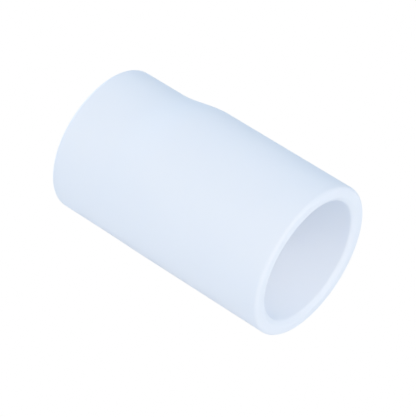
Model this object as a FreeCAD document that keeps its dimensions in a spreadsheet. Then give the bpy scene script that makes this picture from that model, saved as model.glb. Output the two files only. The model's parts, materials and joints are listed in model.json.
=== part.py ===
# Push fit pipe coupling, in millimetres.
#
# One white moulded shell joins a large socket, at +X, to a slightly smaller one, at -X. The two barrels
# are eccentric: they share one straight line underneath, z = 0, and all of the change in size shows as a
# soft step along the top. Each socket takes a pipe up to a web that stops it, and holds one rubber ring
# in a groove next to that web. The pipe squeezes the ring, which seals and grips it.
#
# Frame: X runs along the tube, Z is up, and the origin is under the middle of the length.

import FreeCAD, Part
import Sketcher
import os

# Driving dimensions: (alias, value, meaning).
DIMENSIONS = [
    ("overall_length", 44.1, "mouth to mouth"),
    ("large_barrel_radius", 13.5, "outside of the large socket"),
    ("small_barrel_radius", 12.9, "outside of the small socket"),
    ("large_barrel_length", 26.3, "large mouth to the start of the step"),
    ("step_length", 9.1, "length over which the outside changes size"),
    ("large_bore_radius", 10.8, "takes pipe of 21.5 outside diameter"),
    ("small_bore_radius", 10.1, "takes pipe of 20 outside diameter"),
    ("large_socket_depth", 21.4, "large mouth to the web"),
    ("small_socket_depth", 19.7, "small mouth to the web"),
    ("waterway_radius", 8.9, "hole through the web"),
    ("mouth_rounding", 0.7, "outer edge of each mouth"),
    ("lead_in_depth", 0.5, "chamfer along the bore at each mouth"),
    ("lead_in_height", 0.85, "the same chamfer, across the mouth's face"),
    ("lead_in_rounding", 0.6, "radius on both edges of that chamfer"),
    ("web_rounding", 0.4, "edges of the hole through the web"),
    ("ring_section", 1.6, "thickness of each rubber ring"),
    ("ring_reach", 0.2, "how far a ring stands into its bore"),
    ("ring_clearance", 0.02, "between a ring and its groove's floor"),
    ("groove_width", 2.1, "along the bore"),
    ("groove_rounding", 0.2, "corners of the groove's floor"),
    ("ring_station", 15.6, "mouth to the middle of the ring"),
]

STEP_SECTIONS = 8
ORIGIN_PLANES = {"section": "YZ_Plane", "profile": "XZ_Plane"}
MATCH_TOLERANCE = 0.01
# Sketches are first drawn near these sizes, and their constraints then set the real ones.
ROUGH_RADIUS = 10
ROUGH_SECTION = 1

# Places that follow from the dimensions, as expressions for the spreadsheet's aliases.
LARGE_MOUTH = "Dimensions.overall_length / 2"
SMALL_MOUTH = "-Dimensions.overall_length / 2"
LARGE_RING_PLACE = "Dimensions.overall_length / 2 - Dimensions.ring_station"
SMALL_RING_PLACE = "Dimensions.ring_station - Dimensions.overall_length / 2"
STEP_START = "Dimensions.overall_length / 2 - Dimensions.large_barrel_length"
# A barrel that rests on z = 0 has its axis one radius above it.
LARGE_AXIS = "Dimensions.large_barrel_radius"
SMALL_AXIS = "Dimensions.small_barrel_radius"
WEB_AXIS = "(Dimensions.large_barrel_radius + Dimensions.small_barrel_radius) / 2"

doc = FreeCAD.newDocument("push_fit_coupling")


def make_spreadsheet():
    """The driving dimensions, one row each: name, value with its alias, meaning."""
    sheet = doc.addObject("Spreadsheet::Sheet", "Dimensions")
    for row, (alias, value, meaning) in enumerate(DIMENSIONS, start=1):
        sheet.set(f"A{row}", alias)
        sheet.set(f"B{row}", str(value))
        sheet.setAlias(f"B{row}", alias)
        sheet.set(f"C{row}", meaning)
    doc.recompute()
    return sheet


def make_body(label):
    body = doc.addObject("PartDesign::Body", label)
    body.Label = label
    return body


def make_sketch(body, name, plane, along="0", height="0"):
    """A sketch on one of the body's origin planes.

    A "section" sketch stands across the tube at X = along, with its origin at Z = height.
    A "profile" sketch lies along the tube in the plane Y = 0, with its origin at Z = height.
    """
    sketch = body.newObject("Sketcher::SketchObject", name)
    role = ORIGIN_PLANES[plane]
    support = next(f for f in body.Origin.OriginFeatures if f.Role == role)
    sketch.AttachmentSupport = [(support, "")]
    sketch.MapMode = "FlatFace"
    sketch.setExpression("AttachmentOffset.Base.y", height)
    if plane == "section":
        sketch.setExpression("AttachmentOffset.Base.z", along)
    return sketch


def circle_section(body, name, along, height, radius):
    """A circle across the tube, whose radius follows an expression."""
    sketch = make_sketch(body, name, "section", along, height)
    centre = FreeCAD.Vector(0, 0, 0)
    edge = sketch.addGeometry(Part.Circle(centre, FreeCAD.Vector(0, 0, 1), ROUGH_RADIUS), False)
    sketch.addConstraint(Sketcher.Constraint("Coincident", edge, 3, -1, 1))
    bind(sketch, Sketcher.Constraint("Radius", edge, ROUGH_RADIUS), radius)
    doc.recompute()
    return sketch


def bind(sketch, constraint, expression):
    """Adds a constraint whose value follows an expression."""
    index = sketch.addConstraint(constraint)
    sketch.setExpression(f"Constraints[{index}]", expression)


def pad(body, name, sketch, length, towards_minus_x=False):
    feature = body.newObject("PartDesign::Pad", name)
    feature.Profile = sketch
    feature.setExpression("Length", length)
    feature.Reversed = towards_minus_x
    doc.recompute()
    return feature


def pocket(body, name, sketch, length, towards_plus_x=False):
    """Cuts the sketch along the tube. The volume has to fall, or the cut missed the solid."""
    before = body.Shape.Volume
    feature = body.newObject("PartDesign::Pocket", name)
    feature.Profile = sketch
    feature.setExpression("Length", length)
    feature.Reversed = towards_plus_x
    doc.recompute()
    if feature.Shape.Volume >= before:
        raise RuntimeError(f"{name} removed nothing")
    return feature


def round_edges(shape, radius, along):
    """Names of the circular edges of that radius whose centre is at X = along."""
    found = []
    for number, edge in enumerate(shape.Edges, start=1):
        curve = edge.Curve
        if not isinstance(curve, Part.Circle):
            continue
        same_radius = abs(curve.Radius - radius) < MATCH_TOLERANCE
        same_place = abs(curve.Center.x - along) < MATCH_TOLERANCE
        if same_radius and same_place:
            found.append(f"Edge{number}")
    if not found:
        raise RuntimeError(f"no round edge of radius {radius} at x = {along}")
    return found


def fillet(body, name, base, edges, radius):
    feature = body.newObject("PartDesign::Fillet", name)
    feature.Base = (base, edges)
    feature.setExpression("Radius", radius)
    doc.recompute()
    return feature


def lead_in(body, name, base, edges):
    """A chamfer at the mouth of a bore, for the pipe to slide in over. Its two edges are rounded afterwards."""
    feature = body.newObject("PartDesign::Chamfer", name)
    feature.Base = (base, edges)
    feature.ChamferType = "Two distances"
    feature.setExpression("Size", "Dimensions.lead_in_depth")
    feature.setExpression("Size2", "Dimensions.lead_in_height")
    doc.recompute()
    return feature


def ring_groove(body, name, place, axis, bore_radius):
    """A rectangular groove round a bore, turned about that bore's axis, that seats a rubber ring."""
    sketch = make_sketch(body, f"{name}_profile", "profile", height=axis)
    low, high = ROUGH_RADIUS, ROUGH_RADIUS + ROUGH_SECTION
    corners = [(-ROUGH_SECTION, low), (ROUGH_SECTION, low), (ROUGH_SECTION, high), (-ROUGH_SECTION, high)]
    points = [FreeCAD.Vector(x, z, 0) for x, z in corners]
    for start, end in zip(points, points[1:] + points[:1]):
        sketch.addGeometry(Part.LineSegment(start, end), False)
    for side in range(4):
        sketch.addConstraint(Sketcher.Constraint("Coincident", side, 2, (side + 1) % 4, 1))
    for side, direction in enumerate(["Horizontal", "Vertical", "Horizontal", "Vertical"]):
        sketch.addConstraint(Sketcher.Constraint(direction, side))
    half_width = "Dimensions.groove_width / 2"
    floor = f"{bore_radius} - Dimensions.ring_reach + Dimensions.ring_section + Dimensions.ring_clearance"
    # The cut starts inside the open bore, so that it breaks through the bore's wall.
    inside = f"{bore_radius} - Dimensions.ring_section"
    bind(sketch, Sketcher.Constraint("DistanceY", -1, 1, 0, 1, low), inside)
    bind(sketch, Sketcher.Constraint("DistanceY", -1, 1, 2, 1, high), floor)
    bind(sketch, Sketcher.Constraint("DistanceX", 0, 1, 0, 2, ROUGH_SECTION), "Dimensions.groove_width")
    bind(sketch, Sketcher.Constraint("DistanceX", -1, 1, 0, 2, ROUGH_SECTION), f"{place} + {half_width}")
    doc.recompute()
    before = body.Shape.Volume
    feature = body.newObject("PartDesign::Groove", name)
    feature.Profile = sketch
    feature.ReferenceAxis = (sketch, ["H_Axis"])
    feature.Angle = 360
    doc.recompute()
    if feature.Shape.Volume >= before:
        raise RuntimeError(f"{name} removed nothing")
    return feature


def make_coupling_body(sheet):
    """The moulded shell: two barrels, the step between them, both sockets, the web and the grooves."""
    body = make_body("coupling_body")
    half_length = sheet.overall_length / 2

    large_end = circle_section(body, "large_barrel_section", STEP_START, LARGE_AXIS, LARGE_AXIS)
    pad(body, "large_barrel", large_end, "Dimensions.large_barrel_length")

    # Every section of the step rests on z = 0 too, so its axis is one radius up.
    sections = []
    for number in range(STEP_SECTIONS + 1):
        share = number / STEP_SECTIONS
        eased = 3 * share**2 - 2 * share**3
        radius = f"{LARGE_AXIS} - ({LARGE_AXIS} - {SMALL_AXIS}) * {eased}"
        along = f"{STEP_START} - Dimensions.step_length * {share}"
        sections.append(circle_section(body, f"step_section_{number}", along, radius, radius))
    step = body.newObject("PartDesign::AdditiveLoft", "step")
    step.Profile = sections[0]
    step.Sections = sections[1:]
    doc.recompute()

    step_end = f"{STEP_START} - Dimensions.step_length"
    small_end = circle_section(body, "small_barrel_section", step_end, SMALL_AXIS, SMALL_AXIS)
    small_length = "Dimensions.overall_length - Dimensions.large_barrel_length - Dimensions.step_length"
    pad(body, "small_barrel", small_end, small_length, towards_minus_x=True)

    for name, mouth, radius in [
        ("large_mouth_rounding", half_length, sheet.large_barrel_radius),
        ("small_mouth_rounding", -half_length, sheet.small_barrel_radius),
    ]:
        edges = round_edges(body.Shape, radius, mouth)
        fillet(body, name, body.Tip, edges, "Dimensions.mouth_rounding")

    large_bore = "Dimensions.large_bore_radius"
    small_bore = "Dimensions.small_bore_radius"
    section = circle_section(body, "large_bore_section", LARGE_MOUTH, LARGE_AXIS, large_bore)
    pocket(body, "large_bore", section, "Dimensions.large_socket_depth")
    section = circle_section(body, "small_bore_section", SMALL_MOUTH, SMALL_AXIS, small_bore)
    pocket(body, "small_bore", section, "Dimensions.small_socket_depth", towards_plus_x=True)
    section = circle_section(body, "waterway_section", LARGE_MOUTH, WEB_AXIS, "Dimensions.waterway_radius")
    pocket(body, "waterway", section, "Dimensions.overall_length")

    web_faces = (half_length - sheet.large_socket_depth, sheet.small_socket_depth - half_length)
    edges = [e for x in web_faces for e in round_edges(body.Shape, sheet.waterway_radius, x)]
    fillet(body, "web_rounding", body.Tip, edges, "Dimensions.web_rounding")

    for name, mouth, radius in [
        ("large_lead_in", half_length, sheet.large_bore_radius),
        ("small_lead_in", -half_length, sheet.small_bore_radius),
    ]:
        edges = round_edges(body.Shape, radius, mouth)
        chamfer = lead_in(body, name, body.Tip, edges)
        inner = mouth - sheet.lead_in_depth if mouth > 0 else mouth + sheet.lead_in_depth
        face_edge = round_edges(chamfer.Shape, radius + sheet.lead_in_height, mouth)
        bore_edge = round_edges(chamfer.Shape, radius, inner)
        fillet(body, f"{name}_rounding", chamfer, face_edge + bore_edge, "Dimensions.lead_in_rounding")

    for name, place, axis, bore, bore_radius in [
        ("large_ring_groove", LARGE_RING_PLACE, LARGE_AXIS, large_bore, sheet.large_bore_radius),
        ("small_ring_groove", SMALL_RING_PLACE, SMALL_AXIS, small_bore, sheet.small_bore_radius),
    ]:
        groove = ring_groove(body, name, place, axis, bore)
        floor = bore_radius - sheet.ring_reach + sheet.ring_section + sheet.ring_clearance
        middle = half_length - sheet.ring_station
        middle = middle if place == LARGE_RING_PLACE else -middle
        ends = (middle - sheet.groove_width / 2, middle + sheet.groove_width / 2)
        edges = [e for x in ends for e in round_edges(groove.Shape, floor, x)]
        fillet(body, f"{name}_rounding", groove, edges, "Dimensions.groove_rounding")
    return body


def make_seal_ring(label, place, axis, bore_radius):
    """A rubber O-ring, turned about its own centre and placed in its groove."""
    body = make_body(label)
    sketch = make_sketch(body, f"{label}_section", "profile")
    centre = FreeCAD.Vector(0, ROUGH_RADIUS, 0)
    edge = sketch.addGeometry(Part.Circle(centre, FreeCAD.Vector(0, 0, 1), ROUGH_SECTION), False)
    sketch.addConstraint(Sketcher.Constraint("PointOnObject", edge, 3, -2))
    bind(sketch, Sketcher.Constraint("Radius", edge, ROUGH_SECTION), "Dimensions.ring_section / 2")
    middle = f"{bore_radius} - Dimensions.ring_reach + Dimensions.ring_section / 2"
    bind(sketch, Sketcher.Constraint("DistanceY", -1, 1, edge, 3, ROUGH_RADIUS), middle)
    doc.recompute()
    feature = body.newObject("PartDesign::Revolution", f"{label}_turned")
    feature.Profile = sketch
    feature.ReferenceAxis = (sketch, ["H_Axis"])
    feature.Angle = 360
    body.setExpression("Placement.Base.x", place)
    body.setExpression("Placement.Base.z", axis)
    doc.recompute()
    return body


def check_document(bodies):
    """Stops on any failed feature, and on any sub-part that isn't one valid solid."""
    for item in doc.Objects:
        if "Invalid" in item.State or "Error" in item.State:
            raise RuntimeError(f"{item.Name} failed: {item.State}")
    for body in bodies:
        shape = body.Shape
        if shape.isNull() or not shape.isValid() or len(shape.Solids) != 1:
            raise RuntimeError(f"{body.Label} is not one valid solid")


def export(bodies):
    os.makedirs("parts", exist_ok=True)
    for body in bodies:
        body.Shape.exportStep(os.path.join("parts", f"{body.Label}.step"))
        box = body.Shape.optimalBoundingBox(True, False)
        print(f"{body.Label}: volume {body.Shape.Volume:.1f} mm3,"
              f" x {box.XMin:.2f} to {box.XMax:.2f},"
              f" y {box.YMin:.2f} to {box.YMax:.2f},"
              f" z {box.ZMin:.2f} to {box.ZMax:.2f}")


def main():
    sheet = make_spreadsheet()
    bodies = [
        make_coupling_body(sheet),
        make_seal_ring("large_seal_ring", LARGE_RING_PLACE, LARGE_AXIS, "Dimensions.large_bore_radius"),
        make_seal_ring("small_seal_ring", SMALL_RING_PLACE, SMALL_AXIS, "Dimensions.small_bore_radius"),
    ]
    doc.recompute()
    check_document(bodies)
    export(bodies)


main()
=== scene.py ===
# Push fit coupling: its looks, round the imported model. Metres, +X out of the large mouth, +Z up.

import json
import math

import bpy
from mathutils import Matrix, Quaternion, Vector


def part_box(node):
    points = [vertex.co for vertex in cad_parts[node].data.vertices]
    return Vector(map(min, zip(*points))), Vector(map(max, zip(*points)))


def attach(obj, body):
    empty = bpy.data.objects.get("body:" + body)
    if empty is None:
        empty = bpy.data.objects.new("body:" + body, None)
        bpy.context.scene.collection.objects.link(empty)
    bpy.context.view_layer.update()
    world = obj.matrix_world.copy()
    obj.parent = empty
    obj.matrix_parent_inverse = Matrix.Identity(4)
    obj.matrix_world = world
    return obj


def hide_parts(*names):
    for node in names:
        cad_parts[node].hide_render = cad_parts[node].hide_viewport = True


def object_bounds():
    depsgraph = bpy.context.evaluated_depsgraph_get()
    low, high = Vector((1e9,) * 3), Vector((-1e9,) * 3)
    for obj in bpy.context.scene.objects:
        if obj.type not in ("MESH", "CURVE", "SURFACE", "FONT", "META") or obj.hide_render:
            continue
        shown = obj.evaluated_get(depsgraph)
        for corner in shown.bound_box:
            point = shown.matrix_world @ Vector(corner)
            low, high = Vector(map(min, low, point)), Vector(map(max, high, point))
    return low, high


MM = 0.001

# What the frame doesn't say: the outside's step, the waterway, the grooves and the small roundings.
STEP_START = 26.3 * MM
STEP_LENGTH = 9.1 * MM
MOUTH_ROUNDING = 0.7 * MM
LEAD_IN_DEPTH = 0.5 * MM
LEAD_IN_HEIGHT = 0.85 * MM
LEAD_IN_ROUNDING = 0.6 * MM
WATERWAY_RADIUS = 8.9 * MM
WEB_ROUNDING = 0.4 * MM
GROOVE_WIDTH = 2.1 * MM
GROOVE_ROUNDING = 0.2 * MM
RING_CLEARANCE = 0.02 * MM
RING_FLASH = 0.02 * MM
FLASH_SHARPNESS = 64

# How finely the meshes are cut, and the least angle that isn't shaded smooth.
AROUND = 288
STEP_STATIONS = 48
BARREL_STATIONS = 16
CORNER_STATIONS = 8
RING_SECTION_POINTS = 48
SHARP_ANGLE = math.radians(35)

# The camera: where it stands and how far it is rolled, in degrees and metres; its sensor and its lens, in
# millimetres; and how far beside the middle of the object it aims.
CAMERA_AZIMUTH = 30
CAMERA_ELEVATION = 25
CAMERA_ROLL = 18.15
CAMERA_DISTANCE = 0.458
SENSOR_WIDTH = 36
LENS_LENGTH = 244.2
AIM_RIGHT = 0.34 * MM
AIM_UP = -1.81 * MM

# The studio: softboxes that are large next to the object, a wide floor of paper and a faint surround.
# Sizes are in metres.
SOFTBOX_SIZE = 0.9
SOFTBOX_DISTANCE = 0.9
FLOOR_SIZE = 20
PAPER_REFLECTANCE = 0.9
PAPER_ROUGHNESS = 0.9
PAPER_GLOW = 0.04
SURROUND_GLOW = 0.22
WHITE_GLOW = 1
# How much the picture's darker tones are brightened. 1 leaves them alone.
PRINT_GAMMA = 2.0

# Colours, as linear red, green and blue.
WHITE = (1, 1, 1)
WARM_WHITE = (1, 0.97, 0.91)
PALE_BLUE = (0.68, 0.84, 1)
BLUE = (0.3, 0.61, 1)
PLASTIC_TINTS = ((0.765, 0.818, 0.931), (0.78, 0.828, 0.937))
RUBBER_TINTS = ((0.004, 0.004, 0.0045), (0.012, 0.012, 0.013))

# A noise node's output mostly lies between these.
NOISE_LOW = 0.3
NOISE_HIGH = 0.7

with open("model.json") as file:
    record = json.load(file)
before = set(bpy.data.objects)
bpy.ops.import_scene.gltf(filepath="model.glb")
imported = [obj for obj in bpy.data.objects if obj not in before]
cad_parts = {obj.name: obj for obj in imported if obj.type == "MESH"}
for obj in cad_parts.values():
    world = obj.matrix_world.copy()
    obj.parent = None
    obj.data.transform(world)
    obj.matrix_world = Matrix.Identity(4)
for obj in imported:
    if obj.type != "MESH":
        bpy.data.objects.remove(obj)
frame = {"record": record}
cad_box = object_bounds()
half_length = cad_box[1].x
mounts = {mount["name"]: mount for mount in frame["record"]["mounts"]}


# ---------------------------------------------------------------- shapes


def smoothstep(share):
    """From 0 to 1 as share goes from 0 to 1, level at both ends."""
    return share * share * (3 - 2 * share)


class Station:
    """One ring of a turned surface: its place along X, its radius, and how high its axis runs."""

    def __init__(self, along, radius, axis):
        self.along = along
        self.radius = radius
        self.axis = axis


def rounded_corner(centre_along, centre_radius, rounding, start, end, axis, side=1):
    """Stations along an arc in the turned section.

    Angles are in degrees, from +X towards larger radius, or from -X where side is -1.
    """
    made = []
    for step in range(CORNER_STATIONS + 1):
        angle = math.radians(start + (end - start) * step / CORNER_STATIONS)
        along = centre_along + side * rounding * math.cos(angle)
        radius = centre_radius + rounding * math.sin(angle)
        made.append(Station(along, radius, axis))
    return made


def turned_mesh(name, stations):
    """A closed skin of quads through the stations, and from the last back to the first."""
    vertices = []
    for station in stations:
        for turn in range(AROUND):
            angle = 2 * math.pi * turn / AROUND
            across = station.radius * math.sin(angle)
            up = station.axis - station.radius * math.cos(angle)
            vertices.append((station.along, across, up))
    faces = []
    for ring in range(len(stations)):
        next_ring = (ring + 1) % len(stations)
        for turn in range(AROUND):
            next_turn = (turn + 1) % AROUND
            faces.append((
                ring * AROUND + turn,
                next_ring * AROUND + turn,
                next_ring * AROUND + next_turn,
                ring * AROUND + next_turn,
            ))
    mesh = bpy.data.meshes.new(name)
    mesh.from_pydata(vertices, [], faces)
    mesh.validate()
    mesh.shade_smooth()
    mesh.set_sharp_from_angle(angle=SHARP_ANGLE)
    piece = bpy.data.objects.new(name, mesh)
    bpy.context.scene.collection.objects.link(piece)
    return piece


class Socket:
    """One socket's sizes, read from its mount and its ring. side is +1 for the large socket, at +X, or -1."""

    def __init__(self, mount, ring, side):
        low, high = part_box(ring)
        self.side = side
        self.mouth = half_length * side
        self.radius = mount["dims"]["r_mm"] * MM
        self.axis = mount["pos_m"][2]
        self.web = mount["pos_m"][0] - side * mount["dims"]["length_mm"] * MM / 2
        self.ring_place = (low.x + high.x) / 2
        self.section_radius = (high.x - low.x) / 2
        self.ring_middle = (high.z - low.z) / 2 - self.section_radius
        self.groove_floor = self.ring_middle + self.section_radius + RING_CLEARANCE


def lead_in_stations(socket):
    """From the mouth's flat face into the bore: a chamfer, rounded where it meets both.

    Points are measured from the mouth into the bore, and from the bore's wall outwards. Each rounding is a
    quadratic curve close to an arc, and touches its two lines where the arc does.
    """
    face = Vector((0, 2 * LEAD_IN_HEIGHT))
    outer_edge = Vector((0, LEAD_IN_HEIGHT))
    inner_edge = Vector((LEAD_IN_DEPTH, 0))
    wall = Vector((2 * LEAD_IN_DEPTH, 0))
    made = []
    for before, middle, after in ((face, outer_edge, inner_edge), (outer_edge, inner_edge, wall)):
        turn = (middle - before).angle(after - middle)
        reach = LEAD_IN_ROUNDING * math.tan(turn / 2)
        entry = middle + (before - middle).normalized() * reach
        leave = middle + (after - middle).normalized() * reach
        for step in range(CORNER_STATIONS + 1):
            share = step / CORNER_STATIONS
            point = entry.lerp(middle, share).lerp(middle.lerp(leave, share), share)
            along = socket.mouth - socket.side * point.x
            made.append(Station(along, socket.radius + point.y, socket.axis))
    return made


def groove_stations(socket):
    """The ring's groove, from its edge nearer the mouth to its edge nearer the web."""
    side = socket.side
    near = socket.ring_place + side * GROOVE_WIDTH / 2
    far = socket.ring_place - side * GROOVE_WIDTH / 2
    corner_radius = socket.groove_floor - GROOVE_ROUNDING
    made = [Station(near, socket.radius, socket.axis)]
    for centre, start, end in (
        (near - side * GROOVE_ROUNDING, 0, 90),
        (far + side * GROOVE_ROUNDING, 90, 180),
    ):
        made += rounded_corner(centre, corner_radius, GROOVE_ROUNDING, start, end, socket.axis, side)
    made.append(Station(far, socket.radius, socket.axis))
    return made


def evenly(start, end, radius, axis, count):
    """Stations of one radius between two places, with neither end."""
    return [Station(start + (end - start) * n / count, radius, axis) for n in range(1, count)]


def bore_stations(socket):
    """A socket from its mouth to the web's face."""
    lead_in = lead_in_stations(socket)
    groove = groove_stations(socket)
    wall = evenly(lead_in[-1].along, groove[0].along, socket.radius, socket.axis, BARREL_STATIONS)
    return lead_in + wall + groove + [Station(socket.web, socket.radius, socket.axis)]


def mouth_stations(side, radius):
    """The outer edge of a mouth, from the barrel to the flat face."""
    centre = side * (half_length - MOUTH_ROUNDING)
    return rounded_corner(centre, radius - MOUTH_ROUNDING, MOUTH_ROUNDING, 90, 0, radius, side)


def outside_stations(large_radius, small_radius):
    """The barrels and the step between them, from the large mouth to the small one."""
    step_start = half_length - STEP_START
    step_end = step_start - STEP_LENGTH
    made = evenly(half_length - MOUTH_ROUNDING, step_start, large_radius, large_radius, BARREL_STATIONS)
    for step in range(STEP_STATIONS + 1):
        share = step / STEP_STATIONS
        radius = large_radius + (small_radius - large_radius) * smoothstep(share)
        made.append(Station(step_start - STEP_LENGTH * share, radius, radius))
    made += evenly(step_end, MOUTH_ROUNDING - half_length, small_radius, small_radius, BARREL_STATIONS)
    return made


def web_stations(large, small):
    """The hole through the web, from the large socket to the small one."""
    axis = (large.axis + small.axis) / 2
    centre_radius = WATERWAY_RADIUS + WEB_ROUNDING
    made = rounded_corner(large.web - WEB_ROUNDING, centre_radius, WEB_ROUNDING, 0, -90, axis)
    made += rounded_corner(small.web + WEB_ROUNDING, centre_radius, WEB_ROUNDING, -90, -180, axis)
    return made


def make_shell(large, small):
    """The moulded body, from the large mouth over the outside, and back through both sockets.

    A barrel's radius is the height of its axis, because both barrels rest on Z = 0.
    """
    stations = mouth_stations(1, large.axis)[::-1]
    stations += outside_stations(large.axis, small.axis)
    stations += mouth_stations(-1, small.axis)
    stations += bore_stations(small)
    stations += web_stations(large, small)[::-1]
    stations += bore_stations(large)[::-1]
    return turned_mesh("coupling_shell", stations)


def make_ring(name, socket):
    """An O-ring, with the faint line that its mould leaves round the inside and the outside."""
    plain_radius = socket.section_radius - RING_FLASH
    stations = []
    for point in range(RING_SECTION_POINTS):
        angle = 2 * math.pi * point / RING_SECTION_POINTS
        flash = RING_FLASH * math.sin(angle) ** FLASH_SHARPNESS
        along = socket.ring_place + plain_radius * math.cos(angle)
        radius = socket.ring_middle + (plain_radius + flash) * math.sin(angle)
        stations.append(Station(along, radius, socket.axis))
    return turned_mesh(name, stations)


# ---------------------------------------------------------------- materials


def new_material(name):
    material = bpy.data.materials.new(name)
    material.use_nodes = True
    nodes = material.node_tree.nodes
    return material, nodes, material.node_tree.links, nodes["Principled BSDF"]


def add_noise(nodes, links, place, scale, detail):
    """Noise that is fixed to the object, with about scale lumps in a metre."""
    noise = nodes.new("ShaderNodeTexNoise")
    noise.inputs["Scale"].default_value = scale
    noise.inputs["Detail"].default_value = detail
    links.new(place.outputs["Object"], noise.inputs["Vector"])
    return noise.outputs["Fac"]


def add_range(nodes, links, noise, low, high):
    """Maps a noise's usual span to low to high."""
    node = nodes.new("ShaderNodeMapRange")
    node.inputs["From Min"].default_value = NOISE_LOW
    node.inputs["From Max"].default_value = NOISE_HIGH
    node.inputs["To Min"].default_value = low
    node.inputs["To Max"].default_value = high
    links.new(noise, node.inputs["Value"])
    return node.outputs["Result"]


def add_tint(nodes, links, noise, tints):
    """A colour that wanders with the noise between the two tints."""
    tint = nodes.new("ShaderNodeMix")
    tint.data_type = "RGBA"
    tint.inputs["A"].default_value = (*tints[0], 1)
    tint.inputs["B"].default_value = (*tints[1], 1)
    links.new(add_range(nodes, links, noise, low=0, high=1), tint.inputs["Factor"])
    return tint.outputs["Result"]


def add_bump(nodes, links, height, distance, strength, before=None):
    """Relief from a noise, on top of the relief before it."""
    bump = nodes.new("ShaderNodeBump")
    bump.inputs["Distance"].default_value = distance
    bump.inputs["Strength"].default_value = strength
    links.new(height, bump.inputs["Height"])
    if before:
        links.new(before, bump.inputs["Normal"])
    return bump.outputs["Normal"]


def plastic_material():
    """Cool white moulded plastic: slightly cloudy colour, uneven gloss and the ripple of a moulded skin."""
    material, nodes, links, shader = new_material("moulded_white_plastic")
    place = nodes.new("ShaderNodeTexCoord")
    clouds = add_noise(nodes, links, place, scale=90, detail=3)
    gloss = add_noise(nodes, links, place, scale=320, detail=4)
    ripple = add_noise(nodes, links, place, scale=140, detail=2)
    grain = add_noise(nodes, links, place, scale=5200, detail=3)
    waves = add_bump(nodes, links, ripple, distance=0.02 * MM, strength=0.6)
    pores = add_bump(nodes, links, grain, distance=0.003 * MM, strength=0.5, before=waves)
    links.new(add_tint(nodes, links, clouds, PLASTIC_TINTS), shader.inputs["Base Color"])
    links.new(add_range(nodes, links, gloss, low=0.38, high=0.44), shader.inputs["Roughness"])
    links.new(pores, shader.inputs["Normal"])
    shader.inputs["Subsurface Weight"].default_value = 0.12
    shader.inputs["Subsurface Radius"].default_value = (0.6, 0.7, 0.9)
    shader.inputs["Subsurface Scale"].default_value = 1.5 * MM
    shader.inputs["IOR"].default_value = 1.5
    return material


def rubber_material():
    """Black rubber with a film of grease: dull grain under uneven gloss."""
    material, nodes, links, shader = new_material("greased_black_rubber")
    place = nodes.new("ShaderNodeTexCoord")
    bloom = add_noise(nodes, links, place, scale=400, detail=4)
    film = add_noise(nodes, links, place, scale=700, detail=3)
    grain = add_noise(nodes, links, place, scale=6000, detail=3)
    relief = add_bump(nodes, links, grain, distance=0.006 * MM, strength=0.6)
    links.new(add_tint(nodes, links, bloom, RUBBER_TINTS), shader.inputs["Base Color"])
    links.new(add_range(nodes, links, film, low=0.36, high=0.55), shader.inputs["Roughness"])
    links.new(relief, shader.inputs["Normal"])
    return material


def split_by_camera(nodes, links, seen, otherwise, output):
    """The camera sees the first shader, and everything else meets the second."""
    path = nodes.new("ShaderNodeLightPath")
    mix = nodes.new("ShaderNodeMixShader")
    links.new(path.outputs["Is Camera Ray"], mix.inputs["Fac"])
    links.new(otherwise, mix.inputs[1])
    links.new(seen, mix.inputs[2])
    links.new(mix.outputs["Shader"], output)


def floor_material():
    """Matt white paper that a camera sees as pure white. It reflects the studio's light as paper does."""
    material, nodes, links, shader = new_material("white_paper")
    shader.inputs["Base Color"].default_value = (*[PAPER_REFLECTANCE] * 3, 1)
    shader.inputs["Roughness"].default_value = PAPER_ROUGHNESS
    shader.inputs["Emission Color"].default_value = (*BLUE, 1)
    shader.inputs["Emission Strength"].default_value = PAPER_GLOW
    glow = nodes.new("ShaderNodeEmission")
    glow.inputs["Color"].default_value = (*WHITE, 1)
    glow.inputs["Strength"].default_value = WHITE_GLOW
    output = nodes["Material Output"].inputs["Surface"]
    split_by_camera(nodes, links, glow.outputs["Emission"], shader.outputs["BSDF"], output)
    return material


# ---------------------------------------------------------------- studio


def direction_from(azimuth, elevation):
    """Unit vector from the object towards a viewer. Azimuth 0 looks along +Y, and 90 along -X."""
    turn, lift = math.radians(azimuth), math.radians(elevation)
    return Vector((math.sin(turn) * math.cos(lift), -math.cos(turn) * math.cos(lift), math.sin(lift)))


def make_camera(target):
    back = direction_from(CAMERA_AZIMUTH, CAMERA_ELEVATION)
    roll = Quaternion((0, 0, 1), math.radians(CAMERA_ROLL))
    rotation = (-back).to_track_quat("-Z", "Y") @ roll
    aim = target + rotation @ Vector((AIM_RIGHT, AIM_UP, 0))
    data = bpy.data.cameras.new("camera")
    data.sensor_fit = "HORIZONTAL"
    data.sensor_width = SENSOR_WIDTH
    data.lens = LENS_LENGTH
    camera = bpy.data.objects.new("camera", data)
    camera.location = aim + back * CAMERA_DISTANCE
    camera.rotation_mode = "QUATERNION"
    camera.rotation_quaternion = rotation
    bpy.context.scene.collection.objects.link(camera)
    bpy.context.scene.camera = camera


def make_floor():
    bpy.ops.mesh.primitive_plane_add(size=FLOOR_SIZE, location=(0, 0, 0))
    floor = bpy.context.object
    floor.name = "floor"
    floor.data.materials.append(floor_material())


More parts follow.
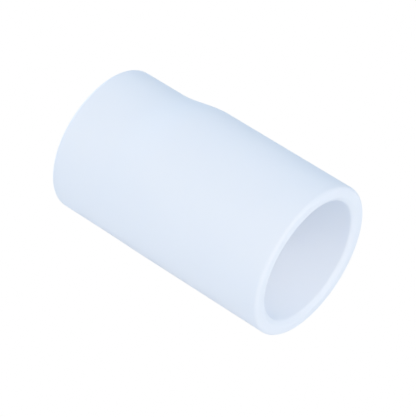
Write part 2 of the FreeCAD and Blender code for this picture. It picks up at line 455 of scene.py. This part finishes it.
def make_world():
    """Faint blue light all round, and pure white where the camera sees past the floor."""
    world = bpy.data.worlds.new("studio")
    bpy.context.scene.world = world
    world.use_nodes = True
    nodes, links = world.node_tree.nodes, world.node_tree.links
    surround = nodes["Background"]
    surround.inputs["Color"].default_value = (*BLUE, 1)
    surround.inputs["Strength"].default_value = SURROUND_GLOW
    backdrop = nodes.new("ShaderNodeBackground")
    backdrop.inputs["Color"].default_value = (*WHITE, 1)
    backdrop.inputs["Strength"].default_value = WHITE_GLOW
    output = nodes["World Output"].inputs["Surface"]
    split_by_camera(nodes, links, backdrop.outputs["Background"], surround.outputs["Background"], output)


def make_softbox(name, azimuth, elevation, power, colour, target):
    data = bpy.data.lights.new(name, "AREA")
    data.shape = "SQUARE"
    data.size = SOFTBOX_SIZE
    data.energy = power
    data.color = colour
    light = bpy.data.objects.new(name, data)
    back = direction_from(azimuth, elevation)
    light.location = target + back * SOFTBOX_DISTANCE
    light.rotation_mode = "QUATERNION"
    light.rotation_quaternion = (-back).to_track_quat("-Z", "Y")
    bpy.context.scene.collection.objects.link(light)


def make_lights(target):
    """Large softboxes, with their bearings in degrees and their power in watts."""
    for name, azimuth, elevation, power, colour in (
        ("key", 60, 30, 5.5, WARM_WHITE),
        ("top", 60, 55, 1.3, WARM_WHITE),
        ("side", -30, 8, 1.9, WHITE),
        ("small_end", -90, 8, 9.0, PALE_BLUE),
        ("rear", 150, 55, 2.1, BLUE),
    ):
        make_softbox(name, azimuth, elevation, power, colour, target)


# ---------------------------------------------------------------- the coupling

large_socket = Socket(mounts["large_socket"], "large_seal_ring", 1)
small_socket = Socket(mounts["small_socket"], "small_seal_ring", -1)

shell = make_shell(large_socket, small_socket)
large_ring = make_ring("large_o_ring", large_socket)
small_ring = make_ring("small_o_ring", small_socket)

plastic = plastic_material()
rubber = rubber_material()
for piece, node, slot, material in (
    (shell, "coupling_body", "moulded_plastic", plastic),
    (large_ring, "large_seal_ring", "ring_rubber", rubber),
    (small_ring, "small_seal_ring", "ring_rubber", rubber),
):
    piece.data.materials.append(material)
    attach(piece, "root")
    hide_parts(node)

middle = Vector((0, 0, large_socket.axis))
make_camera(middle)
make_floor()
make_world()
make_lights(middle)

scene = bpy.context.scene
scene.view_settings.view_transform = "Standard"
scene.view_settings.gamma = PRINT_GAMMA
